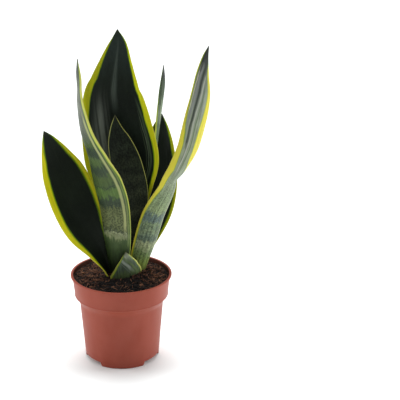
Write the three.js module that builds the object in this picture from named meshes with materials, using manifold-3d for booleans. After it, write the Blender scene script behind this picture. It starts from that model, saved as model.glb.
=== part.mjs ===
// A potted snake plant (Dracaena trifasciata) in a moulded plastic nursery pot.
// Millimetres, +Z up. The origin is the middle of the circle that the pot's feet stand on.
// The pot group stands at the origin. The plant group stands at the level of the soil.

import * as THREE from "three";
import { mergeVertices } from "three/addons/utils/BufferGeometryUtils.js";
import Module from "manifold-3d";

const wasm = await Module();
wasm.setup();

// ---- Pot: driving dimensions ----
const rimDiameter = 122; // across the lip
const potHeight = 107;
const baseDiameter = 88.6; // across the feet
const wall = 1.2;
const lipHeight = 2.2; // the bead round the top edge
const lipProud = 1.8; // how far the bead stands out from the collar
const lipEdge = 0.8; // how far the bead's corners are cut back
const collarHeight = 26; // from the top edge to the collar's lower edge
const collarTaper = 3; // the collar's radius is this much smaller at its lower edge
const shoulderHeight = 8.5; // the slope under the collar
const shoulderStep = 5.7; // how far that slope steps in
const footHeight = 3.9; // the floor's underside stands this far up
const footWidth = 4;
const footEdge = 0.8; // chamfer at the foot
const floorThickness = 2.3;
const footCount = 3;
const notchHeight = 5; // the arch between two feet
const notchAngle = 48; // degrees that one notch takes
const padDiameter = 18; // the round pad under the middle of the floor, level with the feet
const drainDiameter = 9;
const drainCount = 6;
const drainRing = 26; // radius of the ring that the drain holes stand on

// ---- Soil and plant: driving dimensions ----
const soilDrop = 4; // the soil's edge below the top of the pot
const soilCrown = 1.2; // how much higher the soil is in the middle
const clearance = 0.3; // between pieces that touch
const tallestLeaf = 295; // above the soil
const leafThickness = 2.8; // at the midrib
const marginThickness = 0.9;
const footThickening = 1.5; // a leaf's foot is this many times as thick as its blade
const thickensFrom = 20; // height above the soil where that thickening begins
const thickestAt = 40; // depth below the soil where it is complete
const slimWidth = 12; // a leaf narrower than this thins towards its tip
const tipWidth = 0.8;
const footSink = 5; // how far a leaf's foot reaches into the crown
const crownRadius = 27; // the swollen middle of the rhizome
const crownHalfHeight = 11;
const crownDepth = 37; // from the soil's surface to the crown's middle
const rhizomeDiameter = 17;
const rhizomeBearing = 215; // where the runner grows out of the crown
const runnerReach = 24.3; // from the crown's middle to the middle of the runner
const rootCount = 7;
const rootDiameter = 4;
const rootBearing = 20; // the first root's
const rootReach = 33; // how far from the crown's middle the roots spread
const longRoot = 0.85; // shares of the room under the crown
const shortRoot = 0.65;
const chipCount = 10;
const chipSize = [4.6, 2.9, 1.5]; // half length, half width and half height of a chip of bark
const chipTilt = 8;
const chipSpiral = 137.5; // degrees from one chip to the next, round the pot
const chipBearing = 202; // the first chip's
const chipSpin = 71; // degrees that a chip is turned more than the one before
const chipsFrom = 0.62; // shares of the soil's radius between which the chips lie
const chipsTo = 0.86;
const chipSpread = 0.35; // the smallest chip is smaller than the largest by this share
const chipLift = 0.6; // a chip's middle above the soil

// ---- Fineness of the faceted solids ----
const roundSides = 72;
const drainSides = 24;
const stationsPerSpan = 3;
const chordsAcross = 4;
const tangentStep = 0.02; // in knots, either side of a leaf's station

const degrees = THREE.MathUtils.degToRad;

// ---- Places worked out from the driving dimensions ----
const rimRadius = rimDiameter / 2;
const baseRadius = baseDiameter / 2;
const collarTopRadius = rimRadius - lipProud;
const collarLowRadius = collarTopRadius - collarTaper;
const shoulderLowRadius = collarLowRadius - shoulderStep;
const collarLow = potHeight - collarHeight;
const shoulderLow = collarLow - shoulderHeight;
const floorTop = footHeight + floorThickness;
const soilEdge = potHeight - soilDrop;
const soilLevel = soilEdge + soilCrown;

// Radius of the outside of the pot's body, below the shoulder.
function bodyRadius(z) {
  return baseRadius + ((shoulderLowRadius - baseRadius) * z) / shoulderLow;
}

// Radius of the outside of the collar.
function collarRadius(z) {
  return collarLowRadius + (collarTaper * (z - collarLow)) / collarHeight;
}

// ---- Booleans ----

// A closed three.js geometry as a solid.
function solidOf(geometry) {
  const bare = geometry.clone();
  bare.deleteAttribute("normal");
  bare.deleteAttribute("uv");
  const merged = mergeVertices(bare, 1e-4);
  return new wasm.Manifold(
    new wasm.Mesh({
      numProp: 3,
      vertProperties: new Float32Array(merged.attributes.position.array),
      triVerts: new Uint32Array(merged.index.array),
    }),
  );
}

// A solid as a geometry with flat normals.
function geometryOf(solid) {
  const mesh = solid.getMesh();
  const geometry = new THREE.BufferGeometry();
  const position = new Float32Array(mesh.numVert * 3);
  for (let i = 0; i < mesh.numVert; i++) {
    const start = i * mesh.numProp;
    position.set(mesh.vertProperties.subarray(start, start + 3), i * 3);
  }
  geometry.setAttribute("position", new THREE.BufferAttribute(position, 3));
  geometry.setIndex(new THREE.BufferAttribute(mesh.triVerts, 1));
  geometry.computeVertexNormals();
  return geometry;
}

function makeMesh(name, solid, material) {
  const mesh = new THREE.Mesh(geometryOf(solid), material);
  mesh.name = name;
  return mesh;
}

// ---- Materials ----
function plainMaterial(colour, roughness) {
  return new THREE.MeshStandardMaterial({ color: colour, roughness, metalness: 0 });
}

// ---- Pot ----

// A solid of revolution about Z from [radius, height] points.
function turned(points) {
  const outline = points.map(([radius, height]) => new THREE.Vector2(radius, height));
  return solidOf(new THREE.LatheGeometry(outline, roundSides).rotateX(Math.PI / 2));
}

// The inside surface of the pot from the floor up, moved in by `gap`.
function insideOutline(gap) {
  const step = wall + gap;
  return [
    [bodyRadius(floorTop) - step, floorTop + gap],
    [shoulderLowRadius - step, shoulderLow],
    [collarLowRadius - step, collarLow],
  ];
}

function potOutline() {
  const lipLow = potHeight - lipHeight;
  const recess = baseRadius - footWidth;
  const inside = insideOutline(0).reverse();
  return [
    [0, 0],
    [padDiameter / 2, 0],
    [padDiameter / 2, footHeight],
    [recess, footHeight],
    [recess, 0],
    [baseRadius - footEdge, 0],
    [bodyRadius(footEdge), footEdge],
    [shoulderLowRadius, shoulderLow],
    [collarLowRadius, collarLow],
    [collarRadius(lipLow), lipLow],
    [rimRadius, lipLow + lipEdge / 2],
    [rimRadius, potHeight - lipEdge],
    [rimRadius - lipEdge, potHeight],
    [collarTopRadius - wall, potHeight],
    ...inside,
    [0, floorTop],
  ];
}

// A wedge that clears one notch between two feet, centred on the bearing `middle`.
function notchCutter(middle) {
  const inner = baseRadius - footWidth - clearance;
  const outer = rimRadius;
  const from = degrees(middle - notchAngle / 2);
  const to = degrees(middle + notchAngle / 2);
  const outline = new THREE.Shape();
  outline.absarc(0, 0, outer, from, to, false);
  outline.absarc(0, 0, inner, to, from, true);
  outline.closePath();
  const below = footHeight;
  const depth = below + notchHeight;
  const cutter = new THREE.ExtrudeGeometry(outline, { depth, bevelEnabled: false, curveSegments: 12 });
  return solidOf(cutter.translate(0, 0, -below));
}

function drainCutter(x, y) {
  const height = floorThickness * 3;
  const hole = new THREE.CylinderGeometry(drainDiameter / 2, drainDiameter / 2, height, drainSides);
  return solidOf(hole.rotateX(Math.PI / 2).translate(x, y, footHeight + floorThickness / 2));
}

function potSolid() {
  let pot = turned(potOutline());
  for (let i = 0; i < footCount; i++) {
    pot = pot.subtract(notchCutter(-90 + ((i + 0.5) * 360) / footCount));
  }
  for (let i = 0; i < drainCount; i++) {
    const turn = degrees((i * 360) / drainCount);
    pot = pot.subtract(drainCutter(drainRing * Math.cos(turn), drainRing * Math.sin(turn)));
  }
  return pot;
}

// ---- Leaves ----
// Each leaf is drawn by a few knots from its foot on the crown to its tip:
// [x, y, height above the soil, width, bearing that the inner face looks towards, curl].
// Bearings and curl are in degrees; curl is half the arc that the leaf's cross-section takes.
// The knots are drawn for a tallest leaf of this height and scaled from it, but for the depth of a foot.
const drawnTallest = 295;
const leafScale = tallestLeaf / drawnTallest;
const foot = -(crownDepth - crownHalfHeight + footSink) / leafScale;
const leaves = {
  leaf_tall_back: [
    [7, 24, foot, 12, -90, 58],
    [5, 26, 4, 26, -90, 50],
    [5, 29, 60, 45, -90, 38],
    [5, 31, 103, 72, -90, 31],
    [3.5, 34, 136, 92, -90, 29],
    [-2.5, 37, 178, 87.5, -90, 28],
    [-6.5, 40, 214, 74, -90, 26],
    [-5, 42, 235, 57.5, -90, 25],
    [-2.5, 44, 256, 40.5, -90, 24],
    [0.3, 46, 278, 22, -90, 20],
    [0, 47, 295, 0.8, -90, 16],
  ],
  leaf_left: [
    [-11, 7, foot, 10, -10, 58],
    [-17, 4, 3, 25, -20, 52],
    [-30, 3, 34, 37, -48, 42],
    [-46, 4, 64, 59, -54, 36],
    [-59.4, 8, 96, 68, -52, 30],
    [-70.4, 13, 127, 62, -50, 26],
    [-78.6, 18, 150, 41, -50, 22],
    [-84.6, 21, 167, 19.5, -50, 18],
    [-89, 23, 178, 0.8, -50, 14],
  ],
  leaf_front_left: [
    [0, 0, foot, 10, 80, 58],
    [-3, -1, 3, 25, 80, 50],
    [-5, -6, 45, 35, 75, 42],
    [-8.5, -10, 90, 40, 72, 38],
    [-17, -15, 125, 41, 62, 34],
    [-27, -20, 155, 37.5, 44, 30],
    [-39.6, -26, 190, 35.5, 30, 28],
    [-45.3, -31, 225, 28.5, 19, 26],
    [-45.7, -34, 248, 21.5, 12, 22],
    [-46, -36, 266, 14.5, 22, 20],
    [-46, -38, 286, 0.8, 20, 16],
  ],
  leaf_centre: [
    [6, 14, foot, 8, -90, 52],
    [7, 16, 3, 15, -90, 50],
    [11, 18, 50, 26, -90, 44],
    [13, 18, 95, 44, -90, 36],
    [8.5, 17, 135, 40, -90, 32],
    [1, 17.5, 164, 30, -90, 28],
    [-3, 18, 181, 16, -90, 22],
    [-4.5, 18.5, 198, 0.8, -90, 16],
  ],
  leaf_right_back: [
    [13, 33, foot, 9, -110, 55],
    [15, 40, 3, 19, -110, 50],
    [30, 41, 35, 38, -112, 40],
    [44, 44, 75, 52, -115, 32],
    [50, 49, 112, 50, -115, 28],
    [51, 54, 145, 38, -115, 24],
    [51, 58, 168, 22, -115, 20],
    [52, 62, 184, 0.8, -115, 16],
  ],
  leaf_right_twisted: [
    [20, 13, foot, 10, 125, 52],
    [23, 12, 3, 27, 122, 46],
    [33, 12, 40, 35, 118, 42],
    [42, 10, 72, 35, 118, 38],
    [57, 6, 104, 35, 133, 34],
    [62.6, 4, 119, 35, 142, 33],
    [71.6, 1.5, 134, 35, 133, 32],
    [82.8, -3, 162, 33.5, 122, 30],
    [90.5, -6, 195, 32.5, 117, 28],
    [96, -9, 227, 27, 112, 26],
    [98, -11, 256, 17, 108, 24],
    [101, -13, 278, 8, 105, 20],
    [105, -14, 292, 0.8, 105, 16],
  ],
  leaf_thin_back: [
    [22, 25, foot, 8, 180, 50],
    [24, 25, 3, 12, 180, 46],
    [31, 29, 60, 15, 180, 38],
    [40, 35, 115, 19, 176, 32],
    [46, 38.5, 165, 19.5, 170, 28],
    [51, 41, 205, 17.5, 160, 24],
    [53.6, 43, 230, 13, 152, 20],
    [54, 44, 251, 0.8, 152, 16],
  ],
  leaf_short_front: [
    [9, -2, foot, 12, 112, 45],
    [8.5, -5, -3, 44, 115, 36],
    [8, -7.5, 12, 33, 112, 36],
    [7, -10.5, 24, 17, 105, 34],
    [5.5, -14, 36, 0.8, 98, 28],
  ],
};

// One value on the curve that passes smoothly through all knots.
function smooth(before, from, to, after, share) {
  const bend = 2 * before - 5 * from + 4 * to - after;
  const twist = 3 * (from - to) + after - before;
  return from + 0.5 * share * (to - before + share * (bend + share * twist));
}

// All values of a leaf at `place`, counted in knots from the foot.
function knotAt(knots, place) {
  const span = Math.min(Math.floor(place), knots.length - 2);
  const share = place - span;
  const from = knots[span];
  const to = knots[span + 1];
  const before = knots[span - 1] ?? from.map((value, i) => 2 * value - to[i]);
  const after = knots[span + 2] ?? to.map((value, i) => 2 * value - from[i]);
  return from.map((value, i) => smooth(before[i], value, to[i], after[i], share));
}

// A leaf as a closed solid, made thicker, wider and longer by `grow` on every side.
function leafSolid(knots, grow) {
  const last = knots.length - 1;
  const middle = (place) => {
    const [x, y, height] = knotAt(knots, THREE.MathUtils.clamp(place, 0, last));
    return new THREE.Vector3(x, y, height).multiplyScalar(leafScale);
  };
  const steps = last * stationsPerSpan;
  const points = [];
  for (let i = 0; i <= steps; i++) {
    const place = i / stationsPerSpan;
    const [, , height, drawnWidth, bearing, curl] = knotAt(knots, place);
    const tangent = middle(place + tangentStep);
    tangent.sub(middle(place - tangentStep)).normalize();
    const centre = middle(place);
    if (i === 0) centre.addScaledVector(tangent, -grow);
    if (i === steps) centre.addScaledVector(tangent, grow);
    const inward = new THREE.Vector3(Math.cos(degrees(bearing)), Math.sin(degrees(bearing)), 0);
    inward.addScaledVector(tangent, -inward.dot(tangent)).normalize();
    const across = new THREE.Vector3().crossVectors(tangent, inward);
    const halfArc = degrees(curl);
    const width = Math.max(drawnWidth, tipWidth) * leafScale + 2 * grow;
    const radius = width / 2 / halfArc;
    const deep = THREE.MathUtils.smoothstep(-height, -thickestAt, thickensFrom);
    const slim = Math.min(1, width / slimWidth);
    const midrib = Math.max(leafThickness * slim, marginThickness) * (1 + (footThickening - 1) * deep);
    const faces = [1, -1].map((side) => {
      const row = [];
      for (let j = 0; j <= chordsAcross; j++) {
        const share = (side * (2 * j - chordsAcross)) / chordsAcross;
        const turn = share * halfArc;
        const thickness = marginThickness + (midrib - marginThickness) * (1 - share * share);
        const out = side * (thickness / 2 + grow);
        const point = centre.clone();
        point.addScaledVector(across, (radius - out) * Math.sin(turn));
        point.addScaledVector(inward, radius - (radius - out) * Math.cos(turn));
        row.push(point);
      }
      return row;
    });
    points.push(...faces[0], ...faces[1]);
  }
  return solidOf(loftGeometry(points, 2 * (chordsAcross + 1), steps));
}

// The closed surface through rings of points, each ring one face's row and then the other's, back.
function loftGeometry(points, ringSize, steps) {
  const index = [];
  for (let i = 0; i < steps; i++) {
    for (let j = 0; j < ringSize; j++) {
      const a = i * ringSize + j;
      const b = i * ringSize + ((j + 1) % ringSize);
      index.push(a, b, b + ringSize, a, b + ringSize, a + ringSize);
    }
  }
  const last = steps * ringSize;
  for (let j = 0; j < ringSize / 2 - 1; j++) {
    const k = ringSize - 1 - j;
    index.push(j, k, j + 1, j + 1, k, k - 1);
    index.push(last + j, last + j + 1, last + k, last + j + 1, last + k - 1, last + k);
  }
  const geometry = new THREE.BufferGeometry();
  geometry.setAttribute("position", new THREE.Float32BufferAttribute(points.flatMap((p) => p.toArray()), 3));
  geometry.setIndex(index);
  return geometry;
}

// ---- Rhizome and roots ----
const crownMiddle = new THREE.Vector3(9, 14, -crownDepth);

// The unit vector in the level plane towards a bearing.
function towards(bearing) {
  return new THREE.Vector3(Math.cos(degrees(bearing)), Math.sin(degrees(bearing)), 0);
}

// A bent round rod through points in the plant's frame, made thicker and longer at its end by `grow`.
function rod(knots, bareDiameter, grow) {
  const points = knots.slice();
  const end = points.pop();
  const onwards = end.clone().sub(points.at(-1)).setLength(grow);
  points.push(end.clone().add(onwards));
  const diameter = bareDiameter + 2 * grow;
  const section = new THREE.Shape().absarc(0, 0, diameter / 2, 0, 2 * Math.PI, false);
  const path = new THREE.CatmullRomCurve3(points);
  const shape = { extrudePath: path, steps: 3 * (points.length - 1), curveSegments: 4, bevelEnabled: false };
  return solidOf(new THREE.ExtrudeGeometry(section, shape));
}

function rhizomeSolid(grow) {
  const crown = new THREE.SphereGeometry(1, 20, 10).rotateX(Math.PI / 2);
  crown.scale(crownRadius + grow, crownRadius + grow, crownHalfHeight + grow);
  crown.translate(crownMiddle.x, crownMiddle.y, crownMiddle.z);
  let rhizome = solidOf(crown);
  const runner = new THREE.CapsuleGeometry(rhizomeDiameter / 2 + grow, crownRadius, 4, 16);
  runner.rotateZ(degrees(90)).rotateZ(degrees(rhizomeBearing));
  const place = crownMiddle.clone().addScaledVector(towards(rhizomeBearing), runnerReach);
  rhizome = rhizome.add(solidOf(runner.translate(place.x, place.y, place.z)));
  const room = soilLevel - crownDepth - floorTop - crownHalfHeight;
  for (let i = 0; i < rootCount; i++) {
    const outwards = towards((i * 360) / rootCount + rootBearing);
    const at = (reach, drop) => {
      const point = crownMiddle.clone().addScaledVector(outwards, reach);
      point.z -= drop;
      return point;
    };
    const length = room * (i % 2 ? longRoot : shortRoot);
    const path = [
      at(crownRadius * 0.5, 0),
      at(crownRadius * 0.8, crownHalfHeight * 1.2),
      at(rootReach * 0.75, crownHalfHeight + length / 2),
      at(rootReach * 0.7, crownHalfHeight + length),
    ];
    rhizome = rhizome.add(rod(path, rootDiameter, grow));
  }
  return rhizome;
}

// ---- Chips of bark on the soil ----

// A number from 0 to 1 for chip number i: multiples of one step, less their whole part.
function scattered(i, step) {
  return (i * step) % 1;
}

// Where chip number i lies. The chips spiral round between the leaves and the wall.
function chipPlace(i) {
  const inside = collarRadius(soilEdge) - wall;
  const reach = inside * (chipsFrom + (chipsTo - chipsFrom) * scattered(i, 0.37));
  return towards(chipBearing + i * chipSpiral).multiplyScalar(reach);
}

function chipSolid(i, grow) {
  const { x, y } = chipPlace(i);
  const size = 1 - chipSpread * scattered(i, 0.61);
  const [length, width, height] = chipSize.map((half) => half * size + grow);
  const chip = new THREE.IcosahedronGeometry(1, 0);
  chip.scale(length, width, height).rotateX(degrees(chipTilt)).rotateZ(degrees(i * chipSpin));
  return solidOf(chip.translate(x, y, soilHeight(Math.hypot(x, y)) + chipLift - soilLevel));
}

// ---- Soil ----

// Height of the soil's surface at a distance from the pot's axis.
function soilHeight(distance) {
  const share = distance / (collarRadius(soilEdge) - wall - clearance);
  return soilLevel - soilCrown * share * share;
}

function soilSolid(plantedSolids) {
  const edgeRadius = collarRadius(soilEdge) - wall - clearance;
  const surface = [1, 0.8, 0.6, 0.4, 0.2, 0].map((share) => [
    edgeRadius * share,
    soilHeight(edgeRadius * share),
  ]);
  let soil = turned([[0, floorTop + clearance], ...insideOutline(clearance), ...surface]);
  for (const planted of plantedSolids) {
    soil = soil.subtract(planted.translate([0, 0, soilLevel]));
  }
  return soil;
}

// ---- Assembly ----
const potPlastic = plainMaterial(0x94503f, 0.55);
const pottingMix = plainMaterial(0x2e231d, 0.95);
const barkBrown = plainMaterial(0x5b3f2d, 0.9);
const rhizomeOrange = plainMaterial(0xb07a45, 0.7);
const leafGreen = plainMaterial(0x55664a, 0.45);

const part = new THREE.Group();
const potGroup = new THREE.Group();
const plantGroup = new THREE.Group();
plantGroup.position.z = soilLevel;
part.add(potGroup, plantGroup);

// A leaf is pressed in where it meets the crown or a leaf planted before it.
const planted = [rhizomeSolid(clearance)];
plantGroup.add(makeMesh("rhizome", rhizomeSolid(0), rhizomeOrange));
for (const [name, knots] of Object.entries(leaves)) {
  const blade = planted.reduce((rest, other) => rest.subtract(other), leafSolid(knots, 0));
  plantGroup.add(makeMesh(name, blade, leafGreen));
  planted.push(leafSolid(knots, clearance));
}
for (let i = 0; i < chipCount; i++) {
  const name = "bark_chip_" + String(i + 1).padStart(2, "0");
  plantGroup.add(makeMesh(name, chipSolid(i, 0), barkBrown));
  planted.push(chipSolid(i, clearance));
}
potGroup.add(makeMesh("pot", potSolid(), potPlastic));
potGroup.add(makeMesh("soil", soilSolid(planted), pottingMix));

export default part;
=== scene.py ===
"""Looks of a potted snake plant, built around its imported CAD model.

Lengths in the tables are millimetres in the plant's or the pot's own frame. Blender gets metres.
"""

import math

import bmesh
import bpy
import numpy as np
from mathutils import Matrix, Vector, noise


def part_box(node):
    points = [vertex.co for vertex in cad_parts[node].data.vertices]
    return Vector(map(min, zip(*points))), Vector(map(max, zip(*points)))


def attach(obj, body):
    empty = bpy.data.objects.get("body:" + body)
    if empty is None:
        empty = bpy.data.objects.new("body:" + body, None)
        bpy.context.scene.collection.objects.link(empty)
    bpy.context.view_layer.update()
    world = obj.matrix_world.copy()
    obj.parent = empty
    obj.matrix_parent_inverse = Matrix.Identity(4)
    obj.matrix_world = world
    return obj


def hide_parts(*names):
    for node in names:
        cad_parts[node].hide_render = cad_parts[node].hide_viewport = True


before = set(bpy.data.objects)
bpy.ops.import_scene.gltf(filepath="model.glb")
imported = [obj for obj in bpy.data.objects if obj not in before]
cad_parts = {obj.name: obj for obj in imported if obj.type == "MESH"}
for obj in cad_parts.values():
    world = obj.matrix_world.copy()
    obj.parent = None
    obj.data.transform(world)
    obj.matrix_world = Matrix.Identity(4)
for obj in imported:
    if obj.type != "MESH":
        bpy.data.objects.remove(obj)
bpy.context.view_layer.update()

MM = 0.001
UP = Vector((0, 0, 1))

# ---- Sizes from the frame ----
pot_low, pot_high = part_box("pot")
soil_low, soil_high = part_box("soil")
RIM_RADIUS = pot_high.x / MM
POT_HEIGHT = pot_high.z / MM
SOIL_LEVEL = soil_high.z / MM
SOIL_RADIUS = soil_high.x / MM
FLOOR_TOP = soil_low.z / MM

# ---- Pot: the sizes the CAD draws it by ----
BASE_RADIUS = 44.3
WALL = 1.2
LIP_HEIGHT = 2.2
LIP_PROUD = 1.8
COLLAR_HEIGHT = 26
COLLAR_TAPER = 3
SHOULDER_HEIGHT = 8.5
SHOULDER_STEP = 5.7
FOOT_HEIGHT = 3.9
FOOT_WIDTH = 4
FLOOR_THICKNESS = 2.3
FOOT_COUNT = 3
NOTCH_HEIGHT = 5
NOTCH_ANGLE = 48
PAD_RADIUS = 9
DRAIN_RADIUS = 4.5
DRAIN_COUNT = 6
DRAIN_RING = 26

# ---- Leaf section: the sizes the CAD draws it by ----
LEAF_THICKNESS = 2.8
MARGIN_THICKNESS = 0.9
FOOT_THICKENING = 1.5
FOOT_DEPTH = -31
SLIM_WIDTH = 12
TIP_WIDTH = 0.8
TANGENT_STEP = 0.02
FOOT_FADE = (-20, 40)
RIPPLE_FADE = (5, 60)
RIPPLE_WIDTH = 30


def srgb(text):
    """A colour written as six hexadecimal digits, as linear RGBA."""
    channels = [int(text[i : i + 2], 16) / 255 for i in (0, 2, 4)]
    linear = [c / 12.92 if c <= 0.04045 else ((c + 0.055) / 1.055) ** 2.4 for c in channels]
    return (*linear, 1.0)


# ---- Node materials ----
# A Mix node holds sockets for every kind of value. These are the places of its colour ones.
MIX_COLOUR_A = 6
MIX_COLOUR_B = 7
MIX_COLOUR_RESULT = 2


class Shader:
    """One material, built node by node. An argument of a call is a number, a colour or a socket."""

    def __init__(self, name):
        self.material = bpy.data.materials.new(name)
        self.material.use_nodes = True
        self.tree = self.material.node_tree
        self.tree.nodes.clear()
        self.output = self.tree.nodes.new("ShaderNodeOutputMaterial")
        self.surface = self.tree.nodes.new("ShaderNodeBsdfPrincipled")
        self.tree.links.new(self.surface.outputs["BSDF"], self.output.inputs["Surface"])

    def put(self, socket, value):
        if isinstance(value, bpy.types.NodeSocket):
            self.tree.links.new(value, socket)
        else:
            socket.default_value = value

    def set(self, **inputs):
        for name, value in inputs.items():
            self.put(self.surface.inputs[name.replace("_", " ")], value)

    def math(self, operation, a, b=0.0):
        node = self.tree.nodes.new("ShaderNodeMath")
        node.operation = operation
        for socket, value in zip(node.inputs, (a, b)):
            self.put(socket, value)
        return node.outputs[0]

    def plus(self, a, b):
        return self.math("ADD", a, b)

    def minus(self, a, b):
        return self.math("SUBTRACT", a, b)

    def times(self, a, b):
        return self.math("MULTIPLY", a, b)

    def hypotenuse(self, x, y):
        return self.math("SQRT", self.plus(self.times(x, x), self.times(y, y)))

    def between(self, value, low, high, to_low=0.0, to_high=1.0, smooth=True):
        """value from low..high mapped to to_low..to_high and clamped."""
        node = self.tree.nodes.new("ShaderNodeMapRange")
        node.interpolation_type = "SMOOTHSTEP" if smooth else "LINEAR"
        names = ("Value", "From Min", "From Max", "To Min", "To Max")
        for name, number in zip(names, (value, low, high, to_low, to_high)):
            self.put(node.inputs[name], number)
        return node.outputs["Result"]

    def mix(self, factor, a, b, blend="MIX"):
        node = self.tree.nodes.new("ShaderNodeMix")
        node.data_type = "RGBA"
        node.blend_type = blend
        self.put(node.inputs["Factor"], factor)
        self.put(node.inputs[MIX_COLOUR_A], a)
        self.put(node.inputs[MIX_COLOUR_B], b)
        return node.outputs[MIX_COLOUR_RESULT]

    def tint(self, colour, light):
        """colour made lighter or darker by the factor light."""
        return self.mix(1.0, colour, self.join(light, light, light), "MULTIPLY")

    def ramp(self, value, stops, interpolation="LINEAR"):
        """stops is a list of (place from 0 to 1, colour)."""
        node = self.tree.nodes.new("ShaderNodeValToRGB")
        node.color_ramp.interpolation = interpolation
        elements = node.color_ramp.elements
        for place, colour in stops[1:-1]:
            elements.new(place).color = colour
        elements[0].position, elements[0].color = stops[0]
        elements[-1].position, elements[-1].color = stops[-1]
        self.put(node.inputs["Fac"], value)
        return node.outputs["Color"]

    def noise(self, vector, detail=2.0, roughness=0.5, scale=1.0):
        node = self.tree.nodes.new("ShaderNodeTexNoise")
        self.put(node.inputs["Vector"], vector)
        node.inputs["Scale"].default_value = scale
        node.inputs["Detail"].default_value = detail
        node.inputs["Roughness"].default_value = roughness
        return node.outputs["Fac"]

    def attribute(self, name):
        node = self.tree.nodes.new("ShaderNodeAttribute")
        node.attribute_name = name
        return node.outputs["Vector"]

    def place(self):
        return self.tree.nodes.new("ShaderNodeTexCoord").outputs["Object"]

    def split(self, vector):
        node = self.tree.nodes.new("ShaderNodeSeparateXYZ")
        self.put(node.inputs[0], vector)
        return node.outputs

    def join(self, x, y, z):
        node = self.tree.nodes.new("ShaderNodeCombineXYZ")
        for socket, value in zip(node.inputs, (x, y, z)):
            self.put(socket, value)
        return node.outputs[0]

    def stretch(self, vector, scale):
        node = self.tree.nodes.new("ShaderNodeVectorMath")
        node.operation = "MULTIPLY"
        self.put(node.inputs[0], vector)
        node.inputs[1].default_value = scale
        return node.outputs[0]

    def bump(self, height, distance, strength, normal=None):
        node = self.tree.nodes.new("ShaderNodeBump")
        node.inputs["Distance"].default_value = distance
        node.inputs["Strength"].default_value = strength
        self.put(node.inputs["Height"], height)
        if normal is not None:
            self.put(node.inputs["Normal"], normal)
        return node.outputs["Normal"]


def smooth_mesh(name, points, faces):
    """A smooth-shaded mesh, from points in millimetres."""
    mesh = bpy.data.meshes.new(name)
    mesh.from_pydata((np.array(points) * MM).tolist(), [], faces)
    mesh.polygons.foreach_set("use_smooth", [True] * len(faces))
    mesh.update()
    return mesh


# ---- Leaves ----
# A leaf's edges are at -1 and +1 across it. Heights are above the soil.
# knots: [x, y, height, width, bearing that the inner face looks towards, curl], as the CAD draws them.
# margins: [height, width of the margin at edge -1, at edge +1].
# Each face has a look:
#   bands: [height, colour] from the tip down; jag: how far their edges run in and out;
#   margin: its tone at edge -1 and at edge +1; soft: how far it fades into the blade;
#   streaks: how strong the light streaks along the leaf are; speckle: (from height, to height, strength);
#   stripes: (edge, distance from it, width, from height, to height, colour);
#   sheen_patches: (place across, half width in places across, from height, to height, colour), pale soft
#       areas of painted sheen.
# The inner faces' bands: the leaf's dark green, darkened further with painted shade to near black.
DARK_SHADED_BANDS = [[300, "151a14"], [270, "121912"], [235, "171f16"], [205, "111711"], [170, "161e16"],
              [140, "101610"], [110, "161d14"], [75, "10160f"], [40, "141a12"], [0, "10150d"]]
SILVER_BANDS = [[300, "373e30"], [270, "57604d"], [245, "666f58"], [215, "4a593f"], [205, "626e56"],
                [180, "44543a"], [172, "61704f"], [150, "3f4f37"], [143, "5d6e47"], [120, "3b4b33"],
                [112, "556741"], [90, "38472e"], [82, "51643b"], [62, "34442c"], [52, "4e613b"],
                [30, "34442a"], [18, "3f522d"], [0, "2c391f"]]
# The tall back leaf's inner face, darkened the same way with painted shade.
TALL_SHADED_BANDS = [[300, "262f2a"], [270, "232c27"], [248, "1c241e"], [235, "181f18"], *DARK_SHADED_BANDS[3:]]
# In the thin leaf's bands, the paler ones from 208 to 186 are a painted highlight; the rest are its own
# mottled bands.
THIN_BANDS = [[251, "2a2826"], [238, "262c25"], [232, "2f3f27"], [214, "35482a"], [208, "4a5a3e"],
              [196, "6f7c62"], [186, "647358"], [178, "42533a"], [160, "5a6b48"], [150, "42523a"],
              [120, "56694a"], [80, "40503a"], [40, "4a5b3c"], [0, "2c3822"]]

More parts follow.
